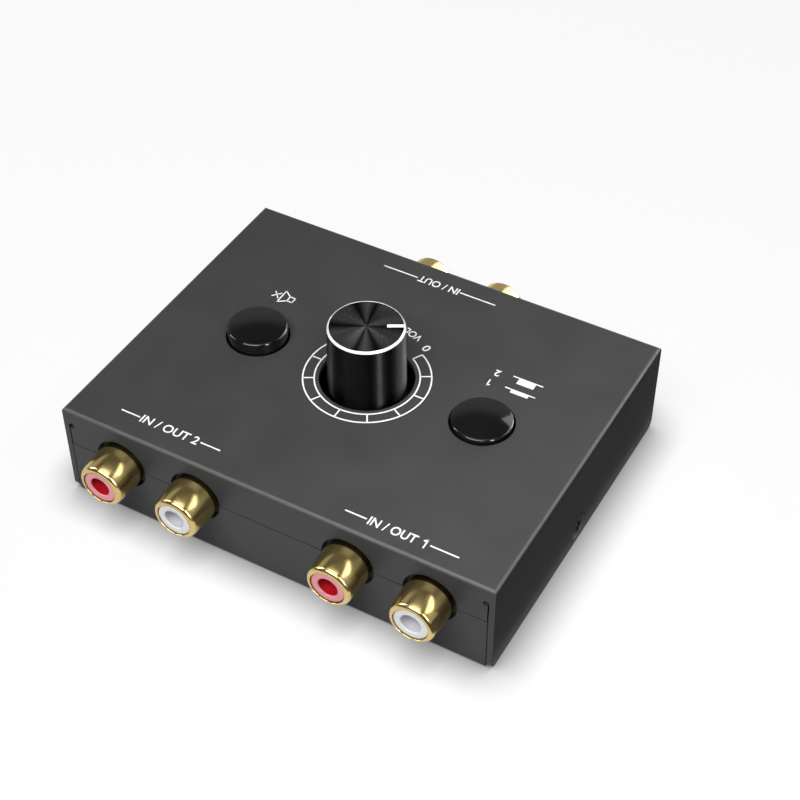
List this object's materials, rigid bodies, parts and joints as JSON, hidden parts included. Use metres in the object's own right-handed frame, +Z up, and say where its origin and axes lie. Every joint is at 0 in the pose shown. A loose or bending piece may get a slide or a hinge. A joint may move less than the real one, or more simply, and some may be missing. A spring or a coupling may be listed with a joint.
{
  "type": "audio source selector",
  "caption": "Low folded-metal stereo selector box with phono sockets front and back, a volume knob, a mute button and a latching source button on top.",
  "frame": {"origin": "bottom centre of the case, on the surface that it rests on", "axes": "+X to the right along the long front with its four sockets towards -Y, +Y to the back with two sockets, +Z up along the knob's axis"},
  "size_m": [0.08, 0.0744, 0.03],
  "materials": {
    "case_paint": "fine matt powder coat, charcoal",
    "black_screw": "black oxide",
    "board_screw_steel": "zinc plated",
    "board_laminate": "green solder mask",
    "spacer_brass": "turned brass",
    "gold_plate": "polished gold plating",
    "housing_plastic": "moulded black",
    "red_insert": "moulded red",
    "white_insert": "moulded white",
    "contact_brass": "plated brass",
    "pot_plastic": "moulded",
    "pot_metal": "zinc die casting",
    "shaft_aluminium": "turned",
    "tinned_metal": "tinned",
    "knob_black": "black anodised, bright cut edge",
    "knob_core_plastic": "moulded black",
    "button_gloss": "high gloss black",
    "plunger_plastic": "moulded white",
    "switch_plastic": "moulded black",
    "spring_steel": "drawn wire"
  },
  "bodies": {
    "case": {"board_screws": "board_screw_steel", "board_spacers": "spacer_brass", "bottom_tray": "case_paint", "circuit_board": "board_laminate", "common_left_jack_contact": "contact_brass", "common_left_jack_housing": "housing_plastic", "common_left_jack_insert": "white_insert", "common_left_jack_shell": "gold_plate", "common_right_jack_contact": "contact_brass", "common_right_jack_housing": "housing_plastic", "common_right_jack_insert": "red_insert", "common_right_jack_shell": "gold_plate", "mute_switch_housing": "switch_plastic", "mute_switch_latch": "spring_steel", "mute_switch_spring": "spring_steel", "mute_switch_terminals": "tinned_metal", "side_screws": "black_screw", "source_1_left_jack_contact": "contact_brass", "source_1_left_jack_housing": "housing_plastic", "source_1_left_jack_insert": "white_insert", "source_1_left_jack_shell": "gold_plate", "source_1_right_jack_contact": "contact_brass", "source_1_right_jack_housing": "housing_plastic", "source_1_right_jack_insert": "red_insert", "source_1_right_jack_shell": "gold_plate", "source_2_left_jack_contact": "contact_brass", "source_2_left_jack_housing": "housing_plastic", "source_2_left_jack_insert": "white_insert", "source_2_left_jack_shell": "gold_plate", "source_2_right_jack_contact": "contact_brass", "source_2_right_jack_housing": "housing_plastic", "source_2_right_jack_insert": "red_insert", "source_2_right_jack_shell": "gold_plate", "source_switch_housing": "switch_plastic", "source_switch_latch": "spring_steel", "source_switch_spring": "spring_steel", "source_switch_terminals": "tinned_metal", "top_cover": "case_paint", "volume_pot_bushing": "pot_metal", "volume_pot_housing": "pot_plastic", "volume_pot_terminals": "tinned_metal", "volume_pot_track": "board_laminate"},
    "knob": {"volume_knob": "knob_black", "volume_knob_core": "knob_core_plastic", "volume_pot_shaft": "shaft_aluminium", "volume_pot_rotor": "pot_plastic", "volume_pot_wipers": "tinned_metal"},
    "mute_button": {"mute_button_cap": "button_gloss", "mute_switch_plunger": "plunger_plastic", "mute_switch_contacts": "tinned_metal"},
    "source_button": {"source_button_cap": "button_gloss", "source_switch_plunger": "plunger_plastic", "source_switch_contacts": "tinned_metal"}
  },
  "joints": [
    {"name": "volume_turn", "type": "hinge", "parent": "case", "child": "knob", "pos_m": [0, 0, 0.0186], "axis": [0, 0, 1], "range_deg": [-270, 30]},
    {"name": "mute_press", "type": "slide", "parent": "case", "child": "mute_button", "axis": [0, 0, -1], "range_m": [0, 0.0022], "deforming": ["mute_switch_spring"]},
    {"name": "source_press", "type": "slide", "parent": "case", "child": "source_button", "axis": [0, 0, -1], "range_m": [-0.00145, 0.00075], "deforming": ["source_switch_spring"]}
  ]
}
